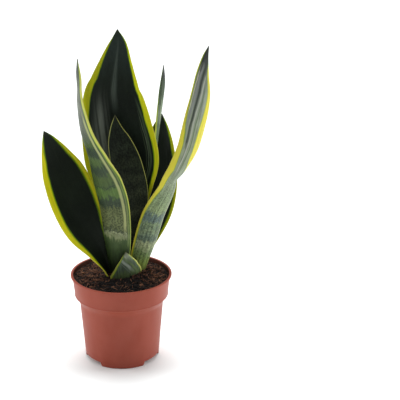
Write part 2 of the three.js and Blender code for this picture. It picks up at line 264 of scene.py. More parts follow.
LEAVES = {
    "leaf_tall_back": {
        "knots": [
            [7, 24, FOOT_DEPTH, 12, -90, 58],
            [5, 26, 4, 26, -90, 50],
            [5, 29, 60, 45, -90, 38],
            [5, 31, 103, 72, -90, 31],
            [3.5, 34, 136, 92, -90, 29],
            [-2.5, 37, 178, 87.5, -90, 28],
            [-6.5, 40, 214, 74, -90, 26],
            [-5, 42, 235, 57.5, -90, 25],
            [-2.5, 44, 256, 40.5, -90, 24],
            [0.3, 46, 278, 22, -90, 20],
            [0, 47, 295, 0.8, -90, 16],
        ],
        "margins": [[-31, 1, 1], [20, 3, 2.4], [70, 5, 3.6], [110, 8, 5], [136, 9, 6.4], [185, 9, 7.6],
                    [210, 9.5, 6.4], [222, 9.5, 5.6], [235, 8.5, 4.8], [256, 4.8, 3.2], [278, 1.8, 1.6],
                    [288, 0, 0.3], [295, 0, 0]],
        "inner": {"bands": TALL_SHADED_BANDS, "jag": 5, "margin": ("a0a20c", "cccb1a"), "soft": 1.4,
                  "stripes": [(1, 10.6, 2.8, 88, 205, "3d4a35"), (1, 13.2, 0.7, 90, 190, "5a6650"),
                              (1, 15.6, 0.8, 88, 175, "37432f")],
                  # Both pale patches are painted sheen: reflected light low on the left, and a highlight
                  # along the midrib near the tip.
                  "sheen_patches": [(-0.42, 0.34, 118, 205, "6f756b"), (0.02, 0.16, 215, 275, "4d564e")]},
        "outer": {"bands": SILVER_BANDS, "jag": 7},
    },
    "leaf_left": {
        "knots": [
            [-11, 7, FOOT_DEPTH, 10, -10, 58],
            [-17, 4, 3, 25, -20, 52],
            [-30, 3, 34, 37, -48, 42],
            [-46, 4, 64, 59, -54, 36],
            [-59.4, 8, 96, 68, -52, 30],
            [-70.4, 13, 127, 62, -50, 26],
            [-78.6, 18, 150, 41, -50, 22],
            [-84.6, 21, 167, 19.5, -50, 18],
            [-89, 23, 178, 0.8, -50, 14],
        ],
        "margins": [[-31, 1, 1], [3, 2.6, 2], [20, 4.8, 3], [40, 7, 4], [64, 10, 5], [96, 11.8, 6],
                    [127, 11.2, 6.4], [145, 8.4, 5.6], [158, 4.6, 4.2], [168, 1.6, 1.8], [174, 0, 0.3],
                    [178, 0, 0]],
        "inner": {"bands": DARK_SHADED_BANDS, "jag": 5, "margin": ("c8c31a", "b4b01c"), "soft": 2.6},
        "outer": {"bands": SILVER_BANDS, "jag": 7},
    },
    "leaf_front_left": {
        "knots": [
            [0, 0, FOOT_DEPTH, 10, 80, 58],
            [-3, -1, 3, 25, 80, 50],
            [-5, -6, 45, 35, 75, 42],
            [-8.5, -10, 90, 40, 72, 38],
            [-17, -15, 125, 41, 62, 34],
            [-27, -20, 155, 37.5, 44, 30],
            [-39.6, -26, 190, 35.5, 30, 28],
            [-45.3, -31, 225, 28.5, 19, 26],
            [-45.7, -34, 248, 21.5, 12, 22],
            [-46, -36, 266, 14.5, 22, 20],
            [-46, -38, 286, 0.8, 20, 16],
        ],
        "margins": [[-31, 1, 1], [15, 1.0, 0.8], [45, 1.2, 0.9], [60, 1.4, 0.9], [90, 1.7, 1.0],
                    [125, 2.1, 1.1], [155, 2.8, 1.3], [190, 3.6, 1.5], [225, 3.4, 1.5], [248, 3.6, 1.2],
                    [266, 2.6, 0.8], [277, 0.8, 0], [286, 0, 0]],
        "inner": {"bands": DARK_SHADED_BANDS, "jag": 5, "margin": ("9c9b10", "8a8f12")},
        "outer": {
            # The grey bands from the tip down to 186 are painted reflection of light on the waxy skin; the
            # crossbands below them are the leaf's own.
            "bands": [[286, "2b302e"], [270, "3c4137"], [255, "585d4f"], [225, "5d6153"],
                      [212, "485043"], [200, "545a4c"], [186, "4a5244"], [182, "3c4d2b"], [176, "3f512a"],
                      [173, "2b3829"], [163, "2d3a2c"],
                      [159, "485a33"], [151, "45582f"], [147, "2f3d2c"], [138, "33402d"], [134, "44552c"],
                      [122, "41532d"], [119.5, "2c3928"], [115.5, "4e6630"], [106, "506832"], [101, "33402e"],
                      [94, "34412e"], [90, "555d38"], [70, "5f6741"], [62, "525b3a"], [60, "2f3a2a"],
                      [57.5, "858c69"], [52, "747c56"], [48, "435530"], [34, "334423"], [16, "1f2a16"],
                      [0, "151b0f"]],
            "jag": 5, "speckle": (56, 96, 0.9), "margin": ("b5b650", "83863f"),
            # The pale stripe 7.2 mm in from edge -1 is a painted highlight along the leaf's bend.
            "stripes": [(-1, 7.2, 3.0, 62, 214, "9fa36c"), (-1, 4.9, 0.8, 50, 190, "3c4a33"),
                        (-1, 3.4, 1.6, 40, 180, "66753f"), (-1, 2.2, 0.5, 40, 150, "3f4c30")],
        },
    },
    "leaf_centre": {
        "knots": [
            [6, 14, FOOT_DEPTH, 8, -90, 52],
            [7, 16, 3, 15, -90, 50],
            [11, 18, 50, 26, -90, 44],
            [13, 18, 95, 44, -90, 36],
            [8.5, 17, 135, 40, -90, 32],
            [1, 17.5, 164, 30, -90, 28],
            [-3, 18, 181, 16, -90, 22],
            [-4.5, 18.5, 198, 0.8, -90, 16],
        ],
        "margins": [[-31, 0.4, 0.4], [50, 0.6, 0.6], [95, 0.9, 0.7], [135, 1.0, 0.8], [181, 0.9, 0.9],
                    [192, 0.7, 0.7], [198, 0.3, 0.3]],
        "inner": {
            # Near-black bands: the leaf's dark green, darkened further with painted shade.
            "bands": [[198, "1d241b"], [165, "191f17"], [155, "252c20"], [147, "171c14"], [136, "262c1e"],
                      [128, "191e15"], [118, "2b3122"], [108, "1d2218"], [98, "323827"], [88, "1f2419"],
                      [76, "333826"], [64, "20261a"], [52, "30361f"], [42, "22281a"], [20, "282e1e"],
                      [0, "1c2016"]],
            "jag": 6, "speckle": (10, 190, 0.8), "margin": ("7d8052", "565c28"), "soft": 0.4,
        },
        "outer": {"bands": SILVER_BANDS, "jag": 6, "margin": ("8c9040", "8c9040")},
    },
    "leaf_right_back": {
        "knots": [
            [13, 33, FOOT_DEPTH, 9, -110, 55],
            [15, 40, 3, 19, -110, 50],
            [30, 41, 35, 38, -112, 40],
            [44, 44, 75, 52, -115, 32],
            [50, 49, 112, 50, -115, 28],
            [51, 54, 145, 38, -115, 24],
            [51, 58, 168, 22, -115, 20],
            [52, 62, 184, 0.8, -115, 16],
        ],
        "margins": [[-31, 1, 1], [20, 2.5, 2.5], [60, 4, 4], [112, 6, 5], [145, 6.5, 5], [160, 4.5, 3.6],
                    [172, 1.5, 1.6], [180, 0, 0.3], [184, 0, 0]],
        "inner": {"bands": DARK_SHADED_BANDS, "jag": 5, "margin": ("8a8e10", "b2b614"), "soft": 2.0},
        "outer": {"bands": SILVER_BANDS, "jag": 7},
    },
    "leaf_right_twisted": {
        "knots": [
            [20, 13, FOOT_DEPTH, 10, 125, 52],
            [23, 12, 3, 27, 122, 46],
            [33, 12, 40, 35, 118, 42],
            [42, 10, 72, 35, 118, 38],
            [57, 6, 104, 35, 133, 34],
            [62.6, 4, 119, 35, 142, 33],
            [71.6, 1.5, 134, 35, 133, 32],
            [82.8, -3, 162, 33.5, 122, 30],
            [90.5, -6, 195, 32.5, 117, 28],
            [96, -9, 227, 27, 112, 26],
            [98, -11, 256, 17, 108, 24],
            [101, -13, 278, 8, 105, 20],
            [105, -14, 292, 0.8, 105, 16],
        ],
        "margins": [[-31, 1, 1], [15, 0, 2.2], [45, 0, 2.8], [72, 0, 3.4], [104, 0, 5.4], [122, 2, 7],
                    [134, 9, 8.5], [148, 12.5, 7], [162, 13, 6.4], [183, 12.5, 5.3], [195, 10.5, 3.4],
                    [215, 7.5, 2.3], [232, 5.5, 1.7], [252, 3.8, 1.5], [262, 2.6, 1.4], [272, 0.4, 1.3],
                    [281, 0, 0.9], [288, 0, 0]],
        "inner": {"bands": DARK_SHADED_BANDS, "jag": 5, "margin": ("b0aa20", "b0aa20")},
        "outer": {
            # The pale grey-green bands from 262 down to 78 are painted reflection of light on the waxy skin;
            # the crossbands below them are the leaf's own.
            "bands": [[292, "1d1f1c"], [276, "2b2f2b"], [262, "4a4f47"], [245, "686d62"], [225, "767d6f"],
                      [200, "7b8370"], [165, "788067"], [130, "77806a"], [108, "727f60"], [96, "6d7c5a"],
                      [84, "75845c"], [78, "77865d"], [74, "4f5f54"], [66, "50615a"],
                      [62, "6a7a58"], [56, "5a6a52"], [53, "6c7b59"], [48, "67765a"], [45, "4b5a4a"],
                      [40, "4c5b49"], [36, "88916a"], [29, "808b62"], [26, "607248"], [20, "697d47"],
                      [12, "73853f"], [0, "667335"]],
            "jag": 4, "speckle": (10, 120, 0.6), "streaks": 0.3, "margin": ("ccc038", "c4b934"),
            # The whitish stripe 1.2 mm in from edge -1 is a painted highlight along the leaf's edge.
            "stripes": [(-1, 1.2, 2.6, 36, 126, "c3c8b0"), (1, 5.4, 2.2, 195, 268, "7b7d7b"),
                        (1, 9.0, 2.6, 165, 286, "2b322b"), (1, 12.2, 1.6, 130, 255, "9c9f92"),
                        (1, 15.4, 1.6, 120, 240, "5c6a50"), (1, 2.8, 0.8, 205, 262, "c4bfa0")],
        },
    },
    "leaf_thin_back": {
        "knots": [
            [22, 25, FOOT_DEPTH, 8, 180, 50],
            [24, 25, 3, 12, 180, 46],
            [31, 29, 60, 15, 180, 38],
            [40, 35, 115, 19, 176, 32],
            [46, 38.5, 165, 19.5, 170, 28],
            [51, 41, 205, 17.5, 160, 24],
            [53.6, 43, 230, 13, 152, 20],
            [54, 44, 251, 0.8, 152, 16],
        ],
        "margins": [[-31, 0.5, 0.5], [60, 1, 1.5], [150, 1.2, 2.6], [185, 0.8, 2.2], [205, 0.3, 0.6],
                    [220, 0, 0], [251, 0, 0]],
        "inner": {"bands": THIN_BANDS, "jag": 4, "streaks": 0.45, "margin": ("a3ad3c", "a3ad3c")},
        "outer": {"bands": THIN_BANDS, "jag": 5, "streaks": 0.45, "margin": ("a3ad3c", "a3ad3c")},
    },
    "leaf_short_front": {
        "knots": [
            [9, -2, FOOT_DEPTH, 12, 112, 45],
            [8.5, -5, -3, 44, 115, 36],
            [8, -7.5, 12, 33, 112, 36],
            [7, -10.5, 24, 17, 105, 34],
            [5.5, -14, 36, 0.8, 98, 28],
        ],
        "margins": [[-31, 1.5, 1.5], [0, 3.2, 3.4], [12, 2.8, 3], [24, 2, 2.2], [31, 1, 1],
                    [36, 0.2, 0.2]],
        "inner": {"bands": DARK_SHADED_BANDS, "jag": 3},
        "outer": {
            "bands": [[36, "adb29a"], [33, "90977f"], [27, "66735c"], [20, "4c5a47"], [12, "4a5847"],
                      [5, "53633e"], [-4, "36432a"]],
            "jag": 3, "streaks": 0.26, "margin": ("c0bf62", "98a13c"),
            # The pale stripe 14 mm in from edge -1 is a painted highlight along the leaf.
            "stripes": [(-1, 14, 3.8, 8, 36, "959e90"), (-1, 9, 2.6, 2, 24, "64764a"),
                        (-1, 18.5, 0.9, 4, 26, "6c756b")],
        },
    },
}

STATIONS_PER_KNOT = 14
CHORDS = 26
EDGE_SHARES = (0.9, 0.95, 0.98, 0.995)


def along_knots(knots, places):
    """The knots' values at places counted in knots, on the smooth curve through all of them."""
    knots = np.array(knots, float)
    padded = np.vstack([2 * knots[0] - knots[1], knots, 2 * knots[-1] - knots[-2]])
    places = np.clip(places, 0, len(knots) - 1)
    span = np.minimum(places.astype(int), len(knots) - 2)
    share = (places - span)[:, None]
    before, start, end, after = (padded[span + i] for i in range(4))
    bend = 2 * before - 5 * start + 4 * end - after
    twist = 3 * (start - end) + after - before
    return start + 0.5 * share * (end - before + share * (bend + share * twist))


def smoothstep(value, low, high):
    share = np.clip((value - low) / (high - low), 0, 1)
    return share * share * (3 - 2 * share)


def unit(vectors):
    return vectors / np.linalg.norm(vectors, axis=-1, keepdims=True)


def leaf_shares():
    """Places across a leaf from -1 to 1, closer together towards the rounded edges."""
    middle = np.linspace(-0.85, 0.85, CHORDS - 1)
    edge = np.array([*EDGE_SHARES, 1.0])
    return np.concatenate([-edge[::-1], middle, edge])


def ripples(seed, along, share):
    """How far, in millimetres, a leaf's blade waves towards its inner face."""
    rows = [[noise.noise(Vector((seed, a * 0.022, s * 0.7))) for s in share] for a in along]
    fine = [[noise.noise(Vector((seed + 40, a * 0.06, s * 1.5))) for s in share] for a in along]
    lively = np.abs(share) ** 2
    return np.array(rows) * (0.25 + 0.45 * lively) + np.array(fine) * (0.08 + 0.2 * lively)


def leaf_surface(knots, seed):
    """Grids of points (station, place across, face) and the values that the leaf's material reads."""
    count = (len(knots) - 1) * STATIONS_PER_KNOT + 1
    places = np.linspace(0, len(knots) - 1, count)
    at = along_knots(knots, places)
    ahead, behind = along_knots(knots, places + TANGENT_STEP), along_knots(knots, places - TANGENT_STEP)
    tangent = unit(ahead[:, :3] - behind[:, :3])
    bearing = np.radians(at[:, 4])
    inward = np.stack([np.cos(bearing), np.sin(bearing), 0 * bearing], 1)
    inward = unit(inward - tangent * (inward * tangent).sum(1, keepdims=True))
    across = np.cross(tangent, inward)
    along = np.concatenate([[0], np.cumsum(np.linalg.norm(np.diff(at[:, :3], axis=0), axis=1))])
    width = np.maximum(at[:, 3], TIP_WIDTH)
    half_arc = np.radians(at[:, 5])
    radius = width / 2 / half_arc
    deep = smoothstep(-at[:, 2], *FOOT_FADE)
    slim = np.minimum(1, width / SLIM_WIDTH)
    midrib = np.maximum(LEAF_THICKNESS * slim, MARGIN_THICKNESS) * (1 + (FOOT_THICKENING - 1) * deep)
    share = leaf_shares()
    rounding = 1 - MARGIN_THICKNESS / width
    beyond = np.clip((np.abs(share)[None, :] - rounding[:, None]) / (1 - rounding[:, None]), 0, 1)
    thickness = MARGIN_THICKNESS + (midrib - MARGIN_THICKNESS)[:, None] * (1 - share**2)[None, :]
    thickness = thickness * np.sqrt(1 - beyond**2)
    calm = smoothstep(at[:, 2], *RIPPLE_FADE) * np.minimum(1, width / RIPPLE_WIDTH)
    wave = ripples(seed, along, share) * calm[:, None]
    turn = share[None, :] * half_arc[:, None]
    faces = []
    for side in (1, -1):
        out = side * thickness / 2
        sideways = (radius[:, None] - out) * np.sin(turn)
        inwards = radius[:, None] - (radius[:, None] - out) * np.cos(turn) + wave
        moved = across[:, None] * sideways[..., None] + inward[:, None] * inwards[..., None]
        faces.append(at[:, None, :3] + moved)
    return share, at[:, 2], along, width, faces


def margin_table(margins, height):
    rows = np.array(margins, float)
    return np.stack([np.interp(height, rows[:, 0], rows[:, i]) for i in (1, 2)], 1)


def leaf_mesh(name, leaf, seed):
    share, height, along, width, (inner, outer) = leaf_surface(leaf["knots"], seed)
    rows, columns = len(height), len(share)
    ring = 2 * columns - 2
    points = np.concatenate([inner, outer[:, -2:0:-1]], 1)
    tip = max(row[2] for row in leaf["knots"])
    shares = np.concatenate([share, share[-2:0:-1]])
    half = width[:, None] / 2
    from_minus, from_plus = half * (1 + shares), half * (1 - shares)
    blade = np.stack([from_minus, from_plus, np.broadcast_to(along[:, None], from_minus.shape)], -1)
    margins = margin_table(leaf["margins"], height)
    columnwise = (margins[:, 0], margins[:, 1], height)
    rims = np.stack([np.broadcast_to(v[:, None], from_minus.shape) for v in columnwise], -1)
    vertices = points.reshape(-1, 3)
    vertices = np.vstack([vertices, points[0].mean(0), points[-1].mean(0)]) + np.array([0, 0, SOIL_LEVEL])
    # The CAD cuts a leaf off at the rhizome, deep in the soil: the foot is pressed to the same level.
    # Above the soil this moves a few ripples, by less than 0.3 mm.
    low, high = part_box(name.removesuffix("_blade"))
    vertices = np.clip(vertices, np.array(low) / MM, np.array(high) / MM)
    faces = []
    on_inner = []
    for i in range(rows - 1):
        for j in range(ring):
            a, b = i * ring + j, i * ring + (j + 1) % ring
            faces.append((a, b, b + ring, a + ring))
            on_inner.append(j < columns - 1)
    foot, end = rows * ring, rows * ring + 1
    last = (rows - 1) * ring
    for j in range(ring):
        k = (j + 1) % ring
        faces += [(foot, k, j), (end, last + j, last + k)]
        on_inner += [j < columns - 1] * 2
    mesh = smooth_mesh(name, vertices, faces)
    for label, values in (("blade", blade), ("rims", rims)):
        flat = values.reshape(-1, 3)
        flat = np.vstack([flat, values[0].mean(0), values[-1].mean(0)])
        stored = mesh.attributes.new(label, "FLOAT_VECTOR", "POINT")
        stored.data.foreach_set("vector", flat.astype(np.float32).ravel())
    mesh.materials.append(leaf_material(name + "_inner_face", leaf["inner"], tip, seed, inner=True))
    mesh.materials.append(leaf_material(name + "_outer_face", leaf["outer"], tip, seed + 0.5, inner=False))
    mesh.polygons.foreach_set("material_index", [0 if i else 1 for i in on_inner])
    mesh.update()
    return mesh


MARGIN_YELLOW = "c3bb35"
LIP_TONE = "c9c46e"
TIP_TONE = "2c2c22"
INTO_GREEN = "8fbf8f"

# Noise over a leaf: waves per millimetre across it and along it, detail, and a shift that sets it apart.
WANDER = (0.09, 0.03, 1.0, 0.0)
TEETH = (0.42, 0.15, 3.0, 0.3)
STREAK = (0.55, 0.006, 3.0, 0.6)
HAIR = (2.4, 0.02, 2.0, 0.9)
BLOTCH = (0.16, 0.10, 3.0, 1.2)
FLECK = (0.6, 0.42, 2.0, 1.7)
SHEEN_PATCH_GRAIN = (0.35, 0.008, 2.0, 2.3)
SWAY = (0.0, 0.03, 2.0, 3.1)
WARMTH = (0.3, 0.012, 2.0, 4.4)
RIDGE = (0.8, 0.01, 2.0, 5.2)
STRIPE_SWAY = (0.0, 0.035, 2.0)


class LeafFace:
    """One face of a leaf: its shader, its look, and the values that its markings are drawn from."""

    def __init__(self, name, look, tip, seed, inner):
        s = Shader(name)
        self.s, self.look, self.tip, self.inner = s, look, tip, inner
        self.from_minus, self.from_plus, along = s.split(s.attribute("blade"))
        self.rim_minus, self.rim_plus, self.height = s.split(s.attribute("rims"))
        self.across = s.times(s.minus(self.from_minus, self.from_plus), 0.5)
        self.flat = s.join(self.across, along, seed * 37.0)
        wander = s.times(self.grain(*WANDER), 3.2 * look["jag"])
        teeth = s.times(self.grain(*TEETH), (3.0 if inner else 4.4) * look["jag"])
        self.reached = s.plus(self.height, s.plus(wander, teeth))
        self.streak = s.between(self.grain(*STREAK), -0.22, 0.22, -1.0, 1.0)
        self.hair = s.between(self.grain(*HAIR), -0.25, 0.25, -1.0, 1.0)

    def grain(self, x, y, detail, shift):
        """Noise around 0."""
        moved = self.s.stretch(self.flat, (x, y, 1.0 + shift))
        return self.s.minus(self.s.noise(moved, detail), 0.5)


def leaf_bands(face):
    """The colour of the crossbands, whose edges are ragged."""
    bands, tip = face.look["bands"], face.tip
    low = bands[-1][0]
    place = face.s.between(face.reached, low, tip, smooth=False)
    stops = [((h - low) / (tip - low), srgb(colour)) for h, colour in reversed(bands) if h <= tip]
    return face.s.ramp(place, stops)


def leaf_mottling(face):
    """A factor for the colour, from fine streaks, blotches and flecks."""
    s = face.s
    strength = face.look.get("streaks", 0.05 if face.inner else 0.16)
    light = s.plus(s.times(face.streak, strength), s.times(face.hair, strength * 0.45))
    light = s.plus(light, s.times(face.grain(*BLOTCH), 0.5 if face.inner else 0.75))
    if "speckle" in face.look:
        start, end, amount = face.look["speckle"]
        above = s.between(face.height, start - 4, start + 4)
        region = s.times(above, s.between(face.height, end + 8, end - 8))
        fleck = s.between(face.grain(*FLECK), -0.12, 0.1, -1.0, 0.7)
        light = s.plus(light, s.times(s.times(fleck, region), 0.5 * amount))
    return s.plus(1.0, light)


def leaf_sheen_patches(face, colour):
    # Painted sheen: pale soft patches that stand for light reflected off the waxy skin.
    s = face.s
    for middle, reach, start, end, tone in face.look.get("sheen_patches", ()):
        side = s.minus(face.from_minus, face.from_plus)
        side = s.math("DIVIDE", side, s.plus(face.from_minus, face.from_plus))
        away = s.math("ABSOLUTE", s.minus(side, middle))
        soft = s.times(s.between(away, reach, 0.0), s.between(face.height, start - 30, start + 15))
        soft = s.times(soft, s.between(face.height, end + 25, end - 30))
        soft = s.times(soft, s.between(face.grain(*SHEEN_PATCH_GRAIN), -0.25, 0.2, 0.2, 1.0))
        colour = s.mix(soft, colour, srgb(tone))
    return colour


def leaf_stripes(face, colour):
    s = face.s
    for edge, distance, width, start, end, tone in face.look.get("stripes", ()):
        off = s.minus(face.from_minus if edge < 0 else face.from_plus, distance)
        off = s.math("ABSOLUTE", s.plus(off, s.times(face.grain(*STRIPE_SWAY, distance), 2.2)))
        ragged = s.plus(off, s.times(face.hair, 0.25))
        fade = 0.25 + 0.25 * width
        mask = s.between(ragged, width / 2 + fade, width / 2 - fade)
        mask = s.times(mask, s.between(face.reached, start - 8, start + 8))
        mask = s.times(mask, s.between(face.reached, end + 14, end - 14))
        colour = s.mix(s.times(mask, 0.9), colour, srgb(tone))
    return colour


def leaf_margins(face, colour):
    """The yellow margin, green where it meets the blade, a paler lip at the edge and a dry tip."""
    s = face.s
    fringe = s.times(s.plus(face.streak, face.hair), 0.22)
    wobble = s.plus(s.times(face.grain(*SWAY), 1.8), fringe)
    depths = []
    for rim, edge in ((face.rim_minus, face.from_minus), (face.rim_plus, face.from_plus)):
        depths.append(s.minus(rim, s.plus(edge, s.times(wobble, s.between(rim, 0.5, 4.0)))))
    depth = s.math("MAXIMUM", *depths)
    soft = face.look.get("soft", 1.2)
    at_minus, at_plus = face.look.get("margin", (MARGIN_YELLOW, MARGIN_YELLOW))
    margin = s.mix(s.between(face.across, -1.0, 1.0), srgb(at_minus), srgb(at_plus))
    margin = s.tint(margin, s.between(face.grain(*WARMTH), -0.3, 0.3, 0.86, 1.12))
    green = s.mix(1.0, margin, srgb(INTO_GREEN), "MULTIPLY")
    colour = s.mix(s.between(depth, -0.6 * soft, 0.5 * soft), colour, green)
    colour = s.mix(s.between(depth, 0.1 * soft, 1.1 * soft), colour, margin)
    nearest = s.math("MINIMUM", face.from_minus, face.from_plus)
    lip = s.times(s.between(nearest, 0.55, 0.1), s.between(depth, -0.2, 0.4))
    colour = s.mix(s.times(lip, 0.4), colour, srgb(LIP_TONE))
    dry = s.between(face.height, face.tip - 7, face.tip - 1)
    return s.mix(s.times(dry, 0.8), colour, srgb(TIP_TONE))


def leaf_relief(face):
    """The normal of fine ridges along the leaf and of its skin."""
    s = face.s
    ridges = s.plus(face.grain(*RIDGE), s.times(face.hair, 0.15))
    skin = s.noise(s.stretch(face.flat, (1.6, 1.2, 1.0)), 3.0)
    return s.bump(skin, 0.0002, 0.35, s.bump(ridges, 0.0006, 0.5))


def leaf_material(name, look, tip, seed, inner):
    """A leaf's face: crossbands with jagged edges, fine streaks along it, and a yellow margin."""
    face = LeafFace(name, look, tip, seed, inner)
    s = face.s
    colour = s.tint(leaf_bands(face), leaf_mottling(face))
    # Pale patches of painted sheen.
    colour = leaf_sheen_patches(face, colour)
    colour = leaf_stripes(face, colour)
    colour = leaf_margins(face, colour)
    sheen = s.noise(s.stretch(face.flat, (0.12, 0.05, 1.0)), 2.0)
    gloss = s.between(sheen, 0.3, 0.7, *((0.34, 0.46) if inner else (0.4, 0.54)))
    s.set(Base_Color=colour, Roughness=gloss, Normal=leaf_relief(face))
    s.set(Specular_IOR_Level=0.08 if inner else 0.2)
    return s.material


def make_leaf(name, leaf, seed):
    piece = bpy.data.objects.new(name + "_blade", leaf_mesh(name + "_blade", leaf, seed))
    bpy.context.scene.collection.objects.link(piece)
    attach(piece, "root")
    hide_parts(name)


# ---- Pot ----
POT_SEGMENTS = 360
POT_STEP = 1.5
ARC_STEPS = 4
BEAD = 0.45
TAB_HALF_WIDTH = 3.8
TAB_LOW = 1.6
TAB_HIGH = 14
TAB_PROUD = 0.3
NOTCH_RAMP = 3.2
NOTCH_SQUEEZE = 2.5
COLLAR_TOP_RADIUS = RIM_RADIUS - LIP_PROUD
COLLAR_LOW_RADIUS = COLLAR_TOP_RADIUS - COLLAR_TAPER
SHOULDER_LOW_RADIUS = COLLAR_LOW_RADIUS - SHOULDER_STEP
COLLAR_LOW = POT_HEIGHT - COLLAR_HEIGHT
SHOULDER_LOW = COLLAR_LOW - SHOULDER_HEIGHT
POT_FLOOR = FOOT_HEIGHT + FLOOR_THICKNESS
DARK_WALL_EDGE = 0.7
DARK_WALL_STRENGTH = 0.9
DARK_WALL_DEPTHS = (6, 4)


def body_radius(z):
    return BASE_RADIUS + (SHOULDER_LOW_RADIUS - BASE_RADIUS) * z / SHOULDER_LOW


def collar_radius(z):
    return COLLAR_LOW_RADIUS + COLLAR_TAPER * (z - COLLAR_LOW) / COLLAR_HEIGHT


def rounded_outline(corners):
    """Points along [radius, height, fillet] corners, with each fillet an arc and no span over POT_STEP."""
    places = [np.array(c[:2], float) for c in corners]
    points = [places[0]]
    for i in range(1, len(places) - 1):
        here, fillet = places[i], corners[i][2]
        back, on = places[i - 1] - here, places[i + 1] - here
        reach_back, reach_on = np.linalg.norm(back), np.linalg.norm(on)
        cut = min(fillet, reach_back * 0.45, reach_on * 0.45)
        start, end = here + back / reach_back * cut, here + on / reach_on * cut
        for step in range(ARC_STEPS + 1):
            t = step / ARC_STEPS
            points.append((1 - t) ** 2 * start + 2 * t * (1 - t) * here + t * t * end)
    points.append(places[-1])
    filled = [points[0]]
    for point in points[1:]:
        gap = point - filled[-1]
        spans = max(1, math.ceil(np.linalg.norm(gap) / POT_STEP))
        start = filled[-1]
        filled += [start + gap * (k + 1) / spans for k in range(spans)]
    return np.array(filled)


def pot_outline():
    recess = BASE_RADIUS - FOOT_WIDTH
    lip_low = POT_HEIGHT - LIP_HEIGHT
    return rounded_outline([
        [0, 0, 0],
        [PAD_RADIUS, 0, 0.5],
        [PAD_RADIUS, FOOT_HEIGHT, 0.5],
        [recess, FOOT_HEIGHT, 0.5],
        [recess, 0, 0.5],
        [BASE_RADIUS - 0.4, 0, 0.7],
        [body_radius(0.8), 0.8, 0.7],
        [SHOULDER_LOW_RADIUS, SHOULDER_LOW, 2.5],
        [COLLAR_LOW_RADIUS - 0.5, COLLAR_LOW - 0.5, 0.5],
        [COLLAR_LOW_RADIUS + BEAD, COLLAR_LOW, 0.4],
        [COLLAR_LOW_RADIUS + BEAD, COLLAR_LOW + 0.9, 0.5],
        [collar_radius(COLLAR_LOW + 1.9), COLLAR_LOW + 1.9, 0.5],
        [collar_radius(lip_low), lip_low, 0.3],
        [RIM_RADIUS, lip_low + 0.5, 0.3],
        [RIM_RADIUS, POT_HEIGHT, 0.8],
        [COLLAR_TOP_RADIUS - WALL, POT_HEIGHT, 0.5],
        [COLLAR_LOW_RADIUS - WALL, COLLAR_LOW, 2],
        [SHOULDER_LOW_RADIUS - WALL, SHOULDER_LOW, 2.5],
        [body_radius(POT_FLOOR) - WALL, POT_FLOOR, 2],
        [0, POT_FLOOR, 0],
    ])


def notch_lift(bearing):
    """How far up the pot's base edge stands at a bearing, in the arches between the feet."""
    spacing = 360 / FOOT_COUNT
    off = abs((bearing + 90 + spacing / 2) % spacing - spacing / 2)
    off = spacing / 2 - off
    edge = smoothstep(NOTCH_ANGLE / 2 - off, -NOTCH_RAMP / 2, NOTCH_RAMP / 2)
    return NOTCH_HEIGHT * float(edge)


def pot_mesh():
    outline = pot_outline()
    count = len(outline)
    recess = BASE_RADIUS - FOOT_WIDTH
    squeezed = NOTCH_HEIGHT + NOTCH_SQUEEZE
    radius, height = outline[:, 0], outline[:, 1]
    underside = np.arange(count) < np.argmax(height)
    outer = underside & (radius > recess + 0.9)
    foot = underside & (np.abs(radius - recess) <= 0.9) & (height < FOOT_HEIGHT - 1e-6)
    collar = underside & (height > COLLAR_LOW + 1) & (height < POT_HEIGHT - LIP_HEIGHT - 1)
    vertices = []
    for k in range(POT_SEGMENTS):
        bearing = -90 + k * 360 / POT_SEGMENTS
        lift = notch_lift(bearing)
        z = height.copy()
        low = outer & (height < squeezed)
        z[low] = lift + height[low] * (squeezed - lift) / squeezed
        z[foot] = lift + height[foot] * (FOOT_HEIGHT - lift) / FOOT_HEIGHT
        r = radius.copy()
        away = (bearing + 90 + 180) % 360 - 180
        arc = abs(math.radians(away)) * COLLAR_LOW_RADIUS
        tab = (1 - smoothstep(arc, TAB_HALF_WIDTH - 0.5, TAB_HALF_WIDTH + 0.5)) * TAB_PROUD
        rise = smoothstep(height, COLLAR_LOW + TAB_LOW - 0.5, COLLAR_LOW + TAB_LOW + 0.5)
        rise = rise * (1 - smoothstep(height, COLLAR_LOW + TAB_HIGH - 0.6, COLLAR_LOW + TAB_HIGH + 0.6))
        r[collar] += (tab * rise)[collar]
        turn = math.radians(bearing)
        ring = np.stack([r * math.cos(turn), r * math.sin(turn), z], 1)
        vertices.append(ring[1:-1])
    inner = count - 2
    points = np.vstack([*vertices, [[0, 0, 0]], [[0, 0, POT_FLOOR]]])
    bottom, top = POT_SEGMENTS * inner, POT_SEGMENTS * inner + 1
    faces = []
    for k in range(POT_SEGMENTS):
        a, b = k * inner, (k + 1) % POT_SEGMENTS * inner
        faces += [(a + i, b + i, b + i + 1, a + i + 1) for i in range(inner - 1)]
        faces += [(bottom, b, a), (top, a + inner - 1, b + inner - 1)]
    return smooth_mesh("nursery_pot", points, faces)


